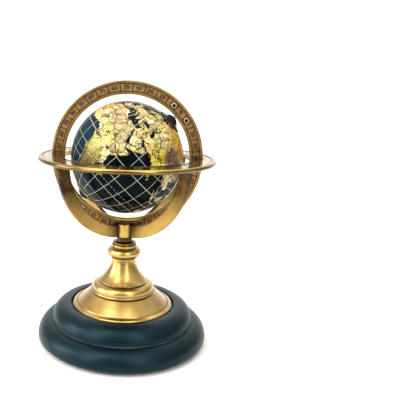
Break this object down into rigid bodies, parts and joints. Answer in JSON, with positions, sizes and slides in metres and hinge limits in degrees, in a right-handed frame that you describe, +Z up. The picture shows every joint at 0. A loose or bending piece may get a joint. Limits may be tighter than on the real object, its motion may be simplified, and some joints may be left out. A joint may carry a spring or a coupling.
{
  "type": "desktop globe on stand",
  "caption": "Terrestrial ball on a tilted axle in a full meridian ring, held by a flat horizon ring, curved cradle arms, a turned brass pedestal and a round wooden base.",
  "frame": {"origin": "middle of the underside, where the base meets the table", "axes": "+Z up; +X to the viewer's right along the meridian ring's plane, the north pole leaning to +X; -Y towards the viewer"},
  "size_m": [0.1606, 0.1606, 0.2425],
  "materials": {
    "felt": "matte dark felt",
    "dark_wood": "satin green-black lacquer",
    "steel": "plain turned",
    "brass": "antique brushed brass with darker recesses",
    "ball_map": "glossy lacquered map with black seas and pale gold lands",
    "inner_plastic": "plain moulded",
    "dark_bronze": "dark bronze with worn edges"
  },
  "bodies": {
    "stand": {"felt_pad": "felt", "wood_base": "dark_wood", "base_washer": "steel", "base_nut": "steel", "tie_rod": "steel", "foot_flange": "brass", "pedestal_bell": "brass", "pedestal_bead": "brass", "neck_collar": "brass", "cradle_hub": "brass", "arm_front_left": "brass", "arm_front_right": "brass", "arm_rear_left": "brass", "arm_rear_right": "brass", "horizon_ring": "brass"},
    "meridian": {"meridian_ring": "brass", "pole_clip_north": "brass", "pole_clip_south": "brass", "pole_screws": "steel", "polar_axle": "steel"},
    "globe": {"globe_north": "ball_map", "globe_south": "ball_map", "equator_collar": "inner_plastic", "bush_north": "brass", "bush_south": "brass", "cap_north": "dark_bronze", "cap_south": "dark_bronze"}
  },
  "joints": [
    {"name": "meridian_turn", "type": "hinge", "parent": "stand", "child": "meridian", "pos_m": [0, 0, 0.1741], "axis": [0, -1, 0], "range_deg": [-28, 28]},
    {"name": "globe_spin", "type": "hinge", "parent": "meridian", "child": "globe", "pos_m": [0, 0, 0.1741], "axis": [0.7431, 0, 0.6691], "continuous": true}
  ]
}
